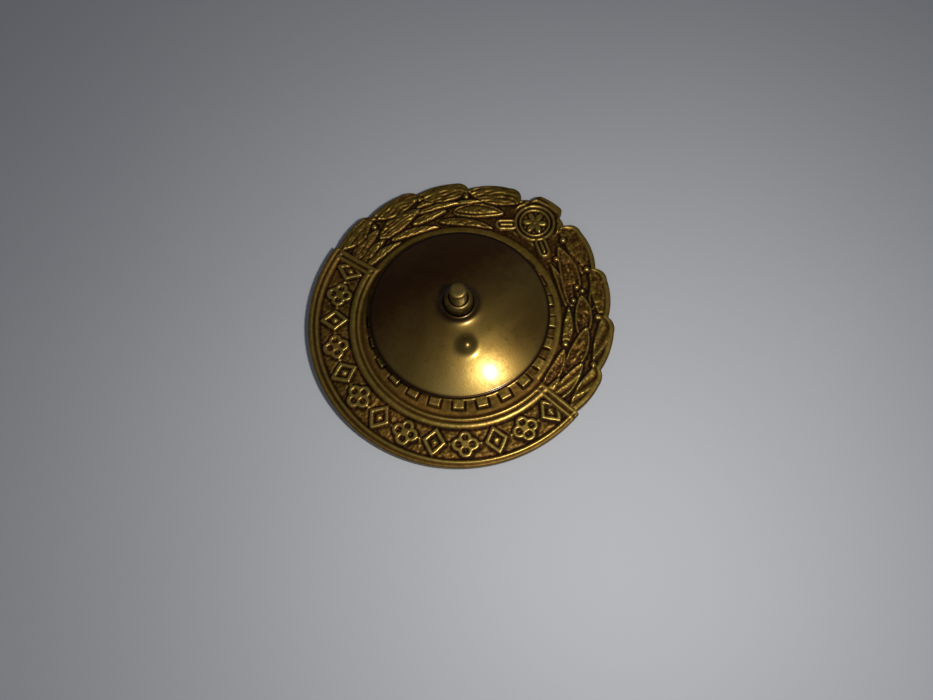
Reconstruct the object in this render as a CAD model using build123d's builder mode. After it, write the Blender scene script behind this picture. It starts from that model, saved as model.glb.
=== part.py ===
from build123d import *
import math
import os

# Screw-back cap badge, lying face down: a one-piece struck brass badge with a threaded post
# soldered to its back, and a domed clamp nut that screws down on the post to grip the cloth.
# Millimetres. The origin is on the post's axis at the front rest plane, +Z is the badge's back,
# and the badge's top, where the medallion stands, is towards +Y.

# ---- driving dimensions ----
RIM_RADIUS = 15.0  # radius of the plain lower edge
BAND_ANGLE = 95.0  # the band ends this far each side of the badge's top
FRONT_PLANE = 0.4  # front of the rim, above the rest plane that the centre stands on
BACK_PLANE = 1.4  # back of the rim
BAND_DEPTH = 0.22  # how deep the band's ground lies on either side
GROOVE_DEPTH = 0.12  # the border grooves
WREATH_DEPTH = 0.22  # how deep the wreath's ground lies
CENTRE_DEPTH = 0.15  # how deep the back is sunk under the nut

BAND_INNER = 11.3
BAND_OUTER = 13.9
BAND_BORDER = 2.0  # angle of the plain border at each end of the band
RIM_GROOVE = (14.35, 14.55)
INNER_GROOVES = ((10.72, 10.9), (10.18, 10.36))
ORNAMENTS = 13  # lozenges and quatrefoils by turns
ORNAMENT_SPAN = 156.0  # angle from the first ornament to the last
LOZENGE_LONG = 1.05  # half length of a lozenge, across the band
LOZENGE_WIDE = 0.85  # half width of a lozenge, along the band
FOIL_OFFSET = 0.5  # from a quatrefoil's middle to the middle of each lobe
FOIL_RADIUS = 0.45
BEAD_RADIUS = 0.3

GEAR_TEETH = 25
GEAR_TIP = 9.1
GEAR_ROOT = 8.35
GEAR_TOOTH_WIDTH = 1.15
GEAR_FIELD = 9.95  # outer radius of the plain annulus round the gear
GEAR_RIM_WIDTH = 0.6  # the raised ring inside the teeth

NOTCH_RADIUS = 14.66
NOTCH_ANGLES = (95.0, 76.0, 54.3, 33.0, 10.6)
LOBE_PEAKS = (15.1, 15.2, 15.3, 15.6)  # one for each leaf tip along a side
PEAK_SHARE = 0.27  # where a lobe peaks, as a share of its angle from its tip notch
LOBE_RISE = 0.72  # share of a lobe's rise that it has halfway to its peak
TIP_SHARE = 0.09  # where a leaf tip turns down, as a share of its lobe's angle
TIP_DROP = 0.12  # how far it has dropped from the peak there

CREST_RADIUS = 16.15  # top of the medallion's crest
CREST_ANGLE = 5.8  # half the crest's width, as an angle
CREST_SIDE = 0.55  # height of the crest's straight sides
CREST_SAG = 0.06  # drop from the middle of its top to the start of its corners
CREST_CORNER = 0.2  # drop to the middle of its corners
SHOULDER_RADIUS = 15.1  # the shoulder each side of the crest
SHOULDER_ANGLE = 8.7  # middle of the shoulder

MEDALLION_CENTRE = 13.0
MEDALLION_RADIUS = 2.45
MEDALLION_CELL = (0.6, 2.0)  # inner and outer radius of its enamel cell
MEDALLION_GROOVES = ((0.7, 1.15), (1.75, 2.05))  # on the back
MEDALLION_FIELD = (5.4, 6.0)  # width and length of the flat that it stands on
MEDALLION_FIELD_AT = 14.2

LEAF_ROWS = (
    # radius, length, width, lean, and turn from the middle of the lobe
    (13.3, 4.7, 1.75, 14.0, 0.0),
    (11.2, 3.5, 1.35, 8.0, 1.5),
)
WREATH_RIM = 0.45  # width of the plain rim outside the wreath
WREATH_INNER_FRONT = 10.6
WREATH_INNER_BACK = 10.15
WREATH_END = 1.5  # angle of the plain border at each end of the wreath

BOSS_RADIUS = 9.4  # raised centre of the front
CENTRE_CELL = 8.3
CENTRE_CELL_DEPTH = 0.4
CELL_DEPTH = 0.3
CELL_GAP = 0.02  # between an enamel fill and its metal wall
ENAMEL_SUNK = 0.02  # an enamel fill's face below the metal round it
PETALS = 6
PETAL_AT = 3.6  # from the rosette's middle to the middle of a petal
PETAL_LONG = 2.3  # half length of a petal
PETAL_WIDE = 1.15  # half width of a petal
ROSETTE_EYE = 2.3

POST_RADIUS = 0.8  # over the M1.6 thread
POST_TIP = 7.4
POST_FLAT = 0.3  # radius of the flat that is left on the rounded tip
POST_ROUND = 0.45  # height of the rounded tip
TIP_SHOULDER = (0.65, 0.14)  # a point of its curve: radius, and depth under the tip
SHANK_RADIUS = 1.0
SHANK_TOP = 2.7
SHANK_BEVEL = 0.1
FLANGE_RADIUS = 2.0
FLANGE_THICKNESS = 0.3
SOLDER_WIDTH = 0.7
SOLDER_EDGE = 0.03  # thickness at the solder's thin outer edge
SOLDER_SAG = (0.3, 0.11)  # a point of its hollow face: past the flange, and above the badge
SOLDER_TOP = 0.04  # under the flange's top

NUT_RADIUS = 8.8
NUT_RIM_TOP = 2.4
NUT_APEX = 4.3
SHEET = 0.42
RIM_TURN = 0.12  # how far the rim's lower edge is turned in
RIM_BULGE = (0.02, 0.2)  # a point of the rim's edge: outside it, and below its top
NECK_TOP = 4.72
NECK_RADIUS = 1.68
NECK_FLARE = 2.7
FLARE_POINT = (0.3, 0.13)  # a point of the flare: outside the neck, and over the dome
DOME_BORE = 1.45
DOME_MIDWAY = 6.0  # a point of the dome's curve
PIMPLE_AT = 4.15
PIMPLE_ANGLE = -133.0
PIMPLE_RADIUS = 1.1
PIMPLE_HEIGHT = 0.55
PIMPLE_ROOT = 0.2  # how deep the pimple's solid goes into the dome's sheet

HUB_RADIUS = 1.4
HUB_BORE = 0.83
HUB_BOTTOM = 3.0
HUB_TOP = 5.8
HUB_ROUND = 0.18  # of its outer top edge
HUB_LEAD = (0.12, 0.15)  # width and height of the bevel at the top of its bore
HUB_FLANGE_RADIUS = 2.2
HUB_FLANGE_TOP = 3.68
COUNTERBORE_RADIUS = 1.08
COUNTERBORE_TOP = 3.9

CENTRE_GROUND = BACK_PLANE - CENTRE_DEPTH
BAND_MIDDLE = (BAND_INNER + BAND_OUTER) / 2


def polar(radius, angle):
    """The point at this radius, and this many degrees anticlockwise of the badge's top."""
    turn = math.radians(angle)
    return (-radius * math.sin(turn), radius * math.cos(turn))


def sector(height, inner, outer, start, end):
    """A ring sector between two angles from the badge's top."""
    with BuildSketch(Plane.XY.offset(height)) as shape:
        with BuildLine():
            far = CenterArc((0, 0), outer, 90 + start, end - start)
            near = CenterArc((0, 0), inner, 90 + start, end - start)
            Line(far @ 0, near @ 0)
            Line(far @ 1, near @ 1)
        make_face()
    return shape.sketch


def lobe(start, end, peak, notch, side):
    """One leaf lobe of the outline: a slow rise to its peak and a quick drop at the leaf's tip."""
    span = start - end
    crest = end + PEAK_SHARE * span
    ThreePointArc(
        polar(notch, side * start),
        polar(notch + LOBE_RISE * (peak - notch), side * (start + crest) / 2),
        polar(peak, side * crest),
    )
    ThreePointArc(
        polar(peak, side * crest),
        polar(peak - TIP_DROP, side * (end + TIP_SHARE * span)),
        polar(notch, side * end),
    )


def crest_side(notch, shoulder, top, side):
    """The outline from the last notch up one side of the crest to the start of its top."""
    foot = polar(shoulder, side * CREST_ANGLE * 1.15)
    corner = polar(shoulder + CREST_SIDE, side * CREST_ANGLE)
    ThreePointArc(
        polar(notch, side * NOTCH_ANGLES[-1]), polar(shoulder - TIP_DROP, side * SHOULDER_ANGLE), foot
    )
    Line(foot, corner)
    ThreePointArc(
        corner,
        polar(top - CREST_CORNER, side * CREST_ANGLE * 0.9),
        polar(top - CREST_SAG, side * CREST_ANGLE * 0.7),
    )


def outline(height, inset=0.0):
    """The badge's outline: a round lower edge, four leaf lobes a side and the crest."""
    rim = RIM_RADIUS - inset
    notch = NOTCH_RADIUS - inset
    top = CREST_RADIUS - inset
    with BuildSketch(Plane.XY.offset(height)) as shape:
        with BuildLine():
            CenterArc((0, 0), rim, 90 + BAND_ANGLE, 360 - 2 * BAND_ANGLE)
            for side in (-1, 1):
                Line(polar(rim, side * BAND_ANGLE), polar(notch, side * BAND_ANGLE))
                for start, end, peak in zip(NOTCH_ANGLES, NOTCH_ANGLES[1:], LOBE_PEAKS):
                    lobe(start, end, peak - inset, notch, side)
                crest_side(notch, SHOULDER_RADIUS - inset, top, side)
            ThreePointArc(
                polar(top - CREST_SAG, -CREST_ANGLE * 0.7),
                polar(top, 0),
                polar(top - CREST_SAG, CREST_ANGLE * 0.7),
            )
        make_face()
    return shape.sketch


def gear(height, tip, root):
    """A spur gear's outline, its teeth straight sided and one of them at the badge's top."""
    overlap = 0.2
    with BuildSketch(Plane.XY.offset(height)) as shape:
        Circle(root)
        with PolarLocations((root + tip - overlap) / 2, GEAR_TEETH, start_angle=90):
            Rectangle(tip - root + overlap, GEAR_TOOTH_WIDTH)
    return shape.sketch


def ornaments(height, grow=0.0):
    """The band's ornaments: lozenges and quatrefoils by turns, with a bead between each two."""
    step = ORNAMENT_SPAN / (ORNAMENTS - 1)
    first = 180 - ORNAMENT_SPAN / 2
    long, wide = LOZENGE_LONG + grow, LOZENGE_WIDE + grow
    with BuildSketch(Plane.XY.offset(height)) as shape:
        for index in range(ORNAMENTS):
            angle = first + index * step
            with Locations(Location((*polar(BAND_MIDDLE, angle), 0), angle)):
                if index % 2 == 0:
                    Polygon((0, -long), (wide, 0), (0, long), (-wide, 0))
                else:
                    Circle(FOIL_OFFSET + grow)
            if index % 2 == 1:
                for quarter in range(4):
                    lobe_at = Vector(FOIL_OFFSET, 0).rotate(Axis.Z, angle + 90 * quarter)
                    with Locations(Vector(*polar(BAND_MIDDLE, angle)) + lobe_at):
                        Circle(FOIL_RADIUS + grow)
        for index in range(ORNAMENTS - 1):
            with Locations(polar(BAND_MIDDLE, first + (index + 0.5) * step)):
                Circle(BEAD_RADIUS + grow)
    return shape.sketch


def leaf(radius, angle, length, width, lean):
    """One laurel leaf as two arcs, leaning out from the ring by lean degrees."""
    side = 1 if angle > 0 else -1
    centre = Vector(*polar(radius, angle))
    along = Vector(length / 2, 0).rotate(Axis.Z, angle - side * lean)
    across = Vector(0, width / 2).rotate(Axis.Z, angle - side * lean)
    with BuildLine() as edge:
        ThreePointArc(centre - along, centre + across, centre + along)
        ThreePointArc(centre + along, centre - across, centre - along)
    return edge.line


def leaves(height):
    """The wreath's leaves: an outer row that follows the lobes, and an inner row."""
    with BuildSketch(Plane.XY.offset(height)) as shape:
        for side in (-1, 1):
            for start, end in zip(NOTCH_ANGLES, NOTCH_ANGLES[1:]):
                for radius, length, width, lean, turn in LEAF_ROWS:
                    angle = side * ((start + end) / 2 + turn)
                    make_face(leaf(radius, angle, length, width, lean).edges())
    return shape.sketch


def wreath_ground(height, inner):
    """The wreath's sunk ground, inside a narrow rim, with the medallion's field left out."""
    end = BAND_ANGLE - WREATH_END
    with BuildSketch(Plane.XY.offset(height)) as shape:
        add(outline(height, WREATH_RIM))
        add(sector(height, inner / 2, 2 * RIM_RADIUS, end, 360 - end), mode=Mode.SUBTRACT)
        Circle(inner, mode=Mode.SUBTRACT)
        with Locations((0, MEDALLION_FIELD_AT)):
            Rectangle(*MEDALLION_FIELD, mode=Mode.SUBTRACT)
        add(leaves(height), mode=Mode.SUBTRACT)
    return shape.sketch


def disc(height, radius):
    """A plain flat disc on the post's axis."""
    with BuildSketch(Plane.XY.offset(height)) as shape:
        Circle(radius)
    return shape.sketch


def medallion_ring(height, inner, outer):
    """A plain flat ring round the medallion's centre."""
    with BuildSketch(Plane.XY.offset(height)) as shape:
        with Locations((0, MEDALLION_CENTRE)):
            Circle(outer)
            Circle(inner, mode=Mode.SUBTRACT)
    return shape.sketch


def band_cell(height, gap=0.0):
    """The band's ground between its borders, the ornaments left standing."""
    start = BAND_ANGLE + BAND_BORDER + math.degrees(gap / BAND_INNER)
    with BuildSketch(Plane.XY.offset(height)) as shape:
        add(sector(height, BAND_INNER + gap, BAND_OUTER - gap, start, 360 - start))
        add(ornaments(height, gap), mode=Mode.SUBTRACT)
    return shape.sketch


def rosette(height, grow=0.0):
    """The flat-topped rosette in the middle of the front."""
    with BuildSketch(Plane.XY.offset(height)) as shape:
        Circle(ROSETTE_EYE + grow)
        with PolarLocations(PETAL_AT, PETALS):
            Ellipse(PETAL_LONG + grow, PETAL_WIDE + grow)
    return shape.sketch


# ---- the struck badge: one piece of brass, worked on both faces ----
with BuildPart() as badge_body:
    extrude(outline(FRONT_PLANE), amount=BACK_PLANE - FRONT_PLANE)
    # the front: a raised centre edged as a gear, with its enamel cell
    extrude(gear(0, GEAR_FIELD, BOSS_RADIUS), amount=FRONT_PLANE)
    extrude(disc(0, CENTRE_CELL), amount=CENTRE_CELL_DEPTH, mode=Mode.SUBTRACT)
    extrude(rosette(0), amount=CENTRE_CELL_DEPTH)
    extrude(band_cell(FRONT_PLANE), amount=CELL_DEPTH, mode=Mode.SUBTRACT)
    front_ground = wreath_ground(FRONT_PLANE, WREATH_INNER_FRONT)
    extrude(front_ground, amount=WREATH_DEPTH, mode=Mode.SUBTRACT)
    medallion_cell = medallion_ring(FRONT_PLANE, *MEDALLION_CELL)
    extrude(medallion_cell, amount=CELL_DEPTH, mode=Mode.SUBTRACT)
    # the back: band, borders, gear and wreath in counter relief
    extrude(band_cell(BACK_PLANE), amount=-BAND_DEPTH, mode=Mode.SUBTRACT)
    for low, high in (RIM_GROOVE, *INNER_GROOVES):
        groove = sector(BACK_PLANE, low, high, BAND_ANGLE, 360 - BAND_ANGLE)
        extrude(groove, amount=-GROOVE_DEPTH, mode=Mode.SUBTRACT)
    with BuildSketch(Plane.XY.offset(BACK_PLANE)):
        Circle(GEAR_FIELD)
        add(gear(BACK_PLANE, GEAR_TIP, GEAR_ROOT), mode=Mode.SUBTRACT)
    extrude(amount=-CENTRE_DEPTH, mode=Mode.SUBTRACT)
    centre = disc(BACK_PLANE, GEAR_ROOT - GEAR_RIM_WIDTH)
    extrude(centre, amount=-CENTRE_DEPTH, mode=Mode.SUBTRACT)
    back_ground = wreath_ground(BACK_PLANE, WREATH_INNER_BACK)
    extrude(back_ground, amount=-WREATH_DEPTH, mode=Mode.SUBTRACT)
    for low, high in MEDALLION_GROOVES:
        groove = medallion_ring(BACK_PLANE, low, high)
        extrude(groove, amount=-GROOVE_DEPTH, mode=Mode.SUBTRACT)

# ---- the enamel fills of the front ----
with BuildPart() as centre_enamel:
    with BuildSketch(Plane.XY.offset(ENAMEL_SUNK)):
        Circle(CENTRE_CELL - CELL_GAP)
        add(rosette(ENAMEL_SUNK, CELL_GAP), mode=Mode.SUBTRACT)
    extrude(amount=CENTRE_CELL_DEPTH - ENAMEL_SUNK)

with BuildPart() as band_enamel:
    extrude(band_cell(FRONT_PLANE + ENAMEL_SUNK, CELL_GAP), amount=CELL_DEPTH - ENAMEL_SUNK)

with BuildPart() as medallion_enamel:
    cell_inner, cell_outer = MEDALLION_CELL
    fill = medallion_ring(FRONT_PLANE + ENAMEL_SUNK, cell_inner + CELL_GAP, cell_outer - CELL_GAP)
    extrude(fill, amount=CELL_DEPTH - ENAMEL_SUNK)

# ---- the post: a turned stud with a foot flange, a plain shank and a thread ----
with BuildPart() as screw_post:
    flange_top = CENTRE_GROUND + FLANGE_THICKNESS
    with BuildSketch(Plane.XZ):
        with BuildLine():
            Polyline(
                (0, POST_TIP),
                (0, CENTRE_GROUND),
                (FLANGE_RADIUS, CENTRE_GROUND),
                (FLANGE_RADIUS, flange_top),
                (SHANK_RADIUS, flange_top),
                (SHANK_RADIUS, SHANK_TOP - SHANK_BEVEL),
                (POST_RADIUS, SHANK_TOP),
                (POST_RADIUS, POST_TIP - POST_ROUND),
            )
            ThreePointArc(
                (POST_RADIUS, POST_TIP - POST_ROUND),
                (TIP_SHOULDER[0], POST_TIP - TIP_SHOULDER[1]),
                (POST_FLAT, POST_TIP),
            )
            Line((POST_FLAT, POST_TIP), (0, POST_TIP))
        make_face()
    revolve(axis=Axis.Z)

# ---- the ring of solder round the post's foot ----
with BuildPart() as post_solder:
    solder_foot = FLANGE_RADIUS + SOLDER_WIDTH
    with BuildSketch(Plane.XZ):
        with BuildLine():
            Polyline(
                (FLANGE_RADIUS, flange_top - SOLDER_TOP),
                (FLANGE_RADIUS, CENTRE_GROUND),
                (solder_foot, CENTRE_GROUND),
                (solder_foot, CENTRE_GROUND + SOLDER_EDGE),
            )
            ThreePointArc(
                (solder_foot, CENTRE_GROUND + SOLDER_EDGE),
                (FLANGE_RADIUS + SOLDER_SAG[0], CENTRE_GROUND + SOLDER_SAG[1]),
                (FLANGE_RADIUS, flange_top - SOLDER_TOP),
            )
        make_face()
    revolve(axis=Axis.Z)

# ---- the nut's pressed dome ----
sagitta = NUT_APEX - NUT_RIM_TOP
DOME_CURVE = (NUT_RADIUS**2 + sagitta**2) / (2 * sagitta)
DOME_CENTRE = NUT_APEX - DOME_CURVE


def dome_height(radius, depth=0.0):
    """Height of the dome's outer face, or of a face this deep under it, at this radius."""
    return DOME_CENTRE + math.sqrt((DOME_CURVE - depth) ** 2 - radius**2)


with BuildPart() as nut_dome:
    rim_inside = NUT_RADIUS - RIM_TURN
    with BuildSketch(Plane.XZ):
        with BuildLine():
            Line((DOME_BORE, dome_height(DOME_BORE, SHEET)), (DOME_BORE, NECK_TOP))
            Line((DOME_BORE, NECK_TOP), (NECK_RADIUS, NECK_TOP))
            flare_at = NECK_RADIUS + FLARE_POINT[0]
            ThreePointArc(
                (NECK_RADIUS, NECK_TOP),
                (flare_at, dome_height(flare_at) + FLARE_POINT[1]),
                (NECK_FLARE, dome_height(NECK_FLARE)),
            )
            ThreePointArc(
                (NECK_FLARE, dome_height(NECK_FLARE)),
                (DOME_MIDWAY, dome_height(DOME_MIDWAY)),
                (NUT_RADIUS, dome_height(NUT_RADIUS)),
            )
            ThreePointArc(
                (NUT_RADIUS, dome_height(NUT_RADIUS)),
                (NUT_RADIUS + RIM_BULGE[0], dome_height(NUT_RADIUS) - RIM_BULGE[1]),
                (rim_inside, dome_height(rim_inside, SHEET)),
            )
            ThreePointArc(
                (rim_inside, dome_height(rim_inside, SHEET)),
                (DOME_MIDWAY, dome_height(DOME_MIDWAY, SHEET)),
                (DOME_BORE, dome_height(DOME_BORE, SHEET)),
            )
        make_face()
    revolve(axis=Axis.Z)
    pimple_curve = (PIMPLE_RADIUS**2 + PIMPLE_HEIGHT**2) / (2 * PIMPLE_HEIGHT)
    pimple_centre = dome_height(PIMPLE_AT) + PIMPLE_HEIGHT - pimple_curve
    cap_floor = math.degrees(math.asin(1 - (PIMPLE_HEIGHT + PIMPLE_ROOT) / pimple_curve))
    with Locations((*polar(PIMPLE_AT, PIMPLE_ANGLE), pimple_centre)):
        Sphere(pimple_curve, arc_size1=cap_floor)

# ---- the nut's tapped hub ----
with BuildPart() as nut_hub:
    with BuildSketch(Plane.XZ):
        with BuildLine():
            Polyline(
                (HUB_BORE, HUB_TOP - HUB_LEAD[1]),
                (HUB_BORE, COUNTERBORE_TOP),
                (COUNTERBORE_RADIUS, COUNTERBORE_TOP),
                (COUNTERBORE_RADIUS, HUB_BOTTOM),
                (HUB_FLANGE_RADIUS, HUB_BOTTOM),
                (HUB_FLANGE_RADIUS, HUB_FLANGE_TOP),
                (HUB_RADIUS, HUB_FLANGE_TOP),
                (HUB_RADIUS, HUB_TOP - HUB_ROUND),
            )
            RadiusArc((HUB_RADIUS, HUB_TOP - HUB_ROUND), (HUB_RADIUS - HUB_ROUND, HUB_TOP), -HUB_ROUND)
            Polyline(
                (HUB_RADIUS - HUB_ROUND, HUB_TOP),
                (HUB_BORE + HUB_LEAD[0], HUB_TOP),
                (HUB_BORE, HUB_TOP - HUB_LEAD[1]),
            )
        make_face()
    revolve(axis=Axis.Z)

PIECES = {
    "badge_body": badge_body,
    "centre_enamel": centre_enamel,
    "band_enamel": band_enamel,
    "medallion_enamel": medallion_enamel,
    "screw_post": screw_post,
    "post_solder": post_solder,
    "nut_dome": nut_dome,
    "nut_hub": nut_hub,
}

os.makedirs("parts", exist_ok=True)
for label, piece in PIECES.items():
    piece.part.label = label
    export_step(piece.part, f"parts/{label}.step")
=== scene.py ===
import math

import bpy
import numpy as np
from mathutils import Matrix, Vector
from mathutils.bvhtree import BVHTree


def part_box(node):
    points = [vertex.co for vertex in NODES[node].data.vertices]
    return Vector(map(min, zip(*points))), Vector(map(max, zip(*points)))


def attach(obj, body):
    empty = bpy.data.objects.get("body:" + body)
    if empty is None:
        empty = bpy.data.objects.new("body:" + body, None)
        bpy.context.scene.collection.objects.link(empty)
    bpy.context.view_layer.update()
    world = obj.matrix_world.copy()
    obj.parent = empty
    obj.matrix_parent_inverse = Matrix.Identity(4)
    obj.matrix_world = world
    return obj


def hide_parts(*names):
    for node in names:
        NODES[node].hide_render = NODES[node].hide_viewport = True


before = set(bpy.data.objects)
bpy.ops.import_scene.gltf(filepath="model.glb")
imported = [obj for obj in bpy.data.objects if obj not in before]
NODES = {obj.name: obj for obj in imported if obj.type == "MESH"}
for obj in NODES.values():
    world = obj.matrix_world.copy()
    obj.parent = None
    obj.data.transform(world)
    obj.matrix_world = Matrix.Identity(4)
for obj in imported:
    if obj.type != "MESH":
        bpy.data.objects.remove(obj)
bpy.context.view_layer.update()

# Lengths are in millimetres until a mesh is made. Angles are in degrees, anticlockwise from the
# badge's top as its back is seen. The frame's origin is on the post's axis and +Z is the back.
MM = 0.001


def node_box(name):
    """Lowest and highest corner of a CAD node, in millimetres."""
    return tuple(np.array(corner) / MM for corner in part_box(name))


BACK = node_box("badge_body")[1][2]  # the back plane of the rim
RIM = 15.0  # radius of the plain lower edge
FRONT = 0.4  # height of the front's plain ground over the plane that the badge rests on
BAND_ANGLE = 95.0  # the band runs from here, through the bottom, to the other side
CENTRE_GROUND = node_box("screw_post")[0][2]  # the ground under the nut, where the post stands
NOISE_TABLE = 64  # cells across a noise table before it repeats


# ---------------------------------------------------------------- shaping helpers


def smooth(x):
    """0 below 0, 1 above 1, and a smooth step between."""
    x = np.clip(x, 0.0, 1.0)
    return x * x * (3.0 - 2.0 * x)


def bump(distance, width):
    """A soft ridge of this half width, 1 along its middle."""
    return np.exp(-((distance / width) ** 2))


def flat_top(distance, half, soft):
    """1 within half of the middle, falling to 0 over soft."""
    return 1.0 - smooth((np.abs(distance) - half) / soft)


def noise(x, y, cell, seed):
    """Smooth value noise from -1 to 1, with cells this many millimetres wide."""
    table = np.random.default_rng(seed).random((NOISE_TABLE, NOISE_TABLE)) * 2.0 - 1.0
    gx, gy = x / cell + 7.3, y / cell + 3.1
    ix, iy = np.floor(gx).astype(int), np.floor(gy).astype(int)
    fx, fy = smooth(gx - ix), smooth(gy - iy)

    def at(a, b):
        return table[(ix + a) % NOISE_TABLE, (iy + b) % NOISE_TABLE]

    low = at(0, 0) * (1 - fx) + at(1, 0) * fx
    high = at(0, 1) * (1 - fx) + at(1, 1) * fx
    return low * (1 - fy) + high * fy


def polar(radius, angle):
    """x and y of a point at this radius and angle."""
    turn = np.radians(angle)
    return -radius * np.sin(turn), radius * np.cos(turn)


def radius_and_angle(x, y):
    return np.hypot(x, y), np.degrees(np.arctan2(-x, y))


def even_angles(columns):
    """This many angles, evenly spaced round the axis."""
    return np.arange(columns) * 360.0 / columns


# ---------------------------------------------------------------- the outline

body_tree = BVHTree.FromObject(NODES["badge_body"], bpy.context.evaluated_depsgraph_get())


def outline_radius(angle):
    """Radius of the CAD badge's edge at this angle, read from its side wall."""
    x, y = polar(1.0, angle)
    away = Vector((x, y, 0.0))
    start = away * (2 * RIM * MM) + Vector((0, 0, (FRONT + BACK) / 2 * MM))
    hit = body_tree.ray_cast(start, -away)[0]
    return math.hypot(hit.x, hit.y) / MM


# ---------------------------------------------------------------- relief of the back

STRIKE_OFFSET = 0.36  # how far the struck rings stand off the post's axis
STRIKE_SIDE = -110.0
LOWEST = -0.28  # the leaves and the crest are cut no deeper than this
GROUND = -0.15  # the usual depth of the ground round a struck shape
GEAR_TEETH = 25
GEAR_TIP = 9.16
GEAR_ROOT = 8.35
GEAR_RING = 7.7  # inner radius of the ring that carries the teeth
TOOTH_HALF = 0.52
ORNAMENT_STEP = 13.0  # degrees from one ornament of the band to the next
ORNAMENT_GAPS = 12  # gaps between the band's 13 ornaments, half of them on each side
ORNAMENT_RUN = ORNAMENT_GAPS * ORNAMENT_STEP
BAND_MIDDLE = 12.5
NOTCHES = (95.0, 76.0, 54.3, 33.0, 10.6)  # the notches between the outline's lobes
MEDALLION = (0.0, 13.0)  # x and y of the rosette's middle
NUT_RADIUS = 8.8
LIT_SIDE = -112.0  # the side of the nut that faces the key light, where no shade is painted on it
SOFTNESS = 1  # rounds of softening: the back of a struck badge is never as crisp as its front

# radius and height of the band's profile, from the inner border out to the edge; the back plane is 0
BAND_PROFILE = (
    (9.3, -0.15), (9.96, -0.17), (10.06, -0.05), (10.2, -0.01), (10.3, -0.05), (10.38, -0.16),
    (10.46, -0.12), (10.56, -0.03), (10.72, 0.0), (10.86, -0.03), (11.02, -0.1), (11.14, -0.24),
    (11.2, -0.22), (11.3, -0.16), (13.74, -0.16), (13.88, -0.22), (13.96, -0.18), (14.08, -0.03),
    (14.2, 0.0), (14.3, -0.05), (14.4, -0.14), (14.5, -0.14), (14.6, -0.03), (14.7, -0.005),
    (14.84, -0.03), (15.0, -0.08), (15.3, -0.2),
)


def struck_radius(r, angle):
    """Radius in the strike's own circles: the strike is a little off the post's axis."""
    shift = STRIKE_OFFSET * np.cos(np.radians(angle - STRIKE_SIDE))
    held = 1 - 0.7 * smooth((r - 13.2) / 1.0) * (shift < 0)
    return r - shift * held


def across_tooth(r, angle):
    """Distance round the ring from the middle of the nearest gear tooth."""
    pitch = 360.0 / GEAR_TEETH
    return np.radians((angle + pitch / 2) % pitch - pitch / 2) * r


def gear_relief(r, angle, x, y):
    """The ground under the nut, with the gear's raised teeth and ring."""
    r = struck_radius(r, angle)
    across = across_tooth(r, angle)
    tooth = flat_top(across, TOOTH_HALF - 0.06, 0.13)
    tooth = tooth * (1 - smooth((r - GEAR_TIP + 0.04) / 0.12))
    ring = smooth((r - GEAR_RING) / 0.1) * (1 - smooth((r - GEAR_ROOT) / 0.12))
    raised = np.maximum(tooth * smooth((r - 8.0) / 0.1), ring)
    past_tip = smooth((r - GEAR_TIP - 0.08) / 0.12)
    shadow = 0.1 * flat_top(across, TOOTH_HALF + 0.1, 0.12) * (1 - past_tip)
    ground = GROUND - shadow * smooth((r - 7.6) / 0.1) + 0.012 * noise(x, y, 0.5, 5)
    top = -0.015 + 0.014 * noise(x, y, 0.3, 6)
    return ground * (1 - raised) + top * raised


def lozenge(u, v, long, wide):
    """Signed distance, about, to a lozenge's edge: negative inside."""
    slant = math.hypot(1 / long, 1 / wide)
    return (np.abs(u) / long + np.abs(v) / wide - 1.0) / slant


def quatrefoil(u, v, offset, radius):
    """Signed distance to the edge of four joined lobes."""
    u, v = np.abs(u), np.abs(v)
    along = np.hypot(u - offset, v)
    across = np.hypot(u, v - offset)
    return np.minimum(along, across) - radius


def ornament_places(angle):
    """Where an angle lies in the band: degrees past the first ornament, whether the nearest one is
    a four-lobed flower, and the radians from it and from the middle of the gap."""
    turn = np.where(angle < 0, angle + 360.0, angle) - (180.0 - ORNAMENT_RUN / 2)
    index = np.clip(np.round(turn / ORNAMENT_STEP), 0, ORNAMENT_GAPS)
    from_one = np.radians(turn - index * ORNAMENT_STEP)
    from_gap = np.radians(turn - (np.floor(turn / ORNAMENT_STEP) + 0.5) * ORNAMENT_STEP)
    return turn, index % 2 == 1, from_one, from_gap


def ornament_relief(r, angle):
    """Height of the band's ornaments over its ground: lozenges and flowers, with beads between."""
    turn, odd, from_one, from_gap = ornament_places(angle)
    u = r - 12.52
    v = from_one * BAND_MIDDLE
    edge = np.where(odd, quatrefoil(u, v, 0.62, 0.55), lozenge(u, v, 1.3, 1.02)) + 0.1
    wall = 0.19 * flat_top(edge, 0.11, 0.15)
    core = 0.16 * flat_top(np.hypot(u, v), 0.17, 0.16)
    arms = 0.09 * bump(np.minimum(np.abs(u), np.abs(v)), 0.07) * (edge < -0.12) * odd
    inner = 0.06 * flat_top(edge + 0.45, 0.02, 0.1) * (1 - odd)
    sunk = -0.035 * (edge < -0.1)
    groove = -0.05 * bump(edge - 0.3, 0.11)
    between = (turn > 0) & (turn < ORNAMENT_RUN)
    bead = 0.14 * flat_top(np.hypot(u, from_gap * BAND_MIDDLE), 0.08, 0.16) * between
    return wall + np.maximum(core, np.maximum(arms, inner)) + sunk + groove + bead


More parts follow.
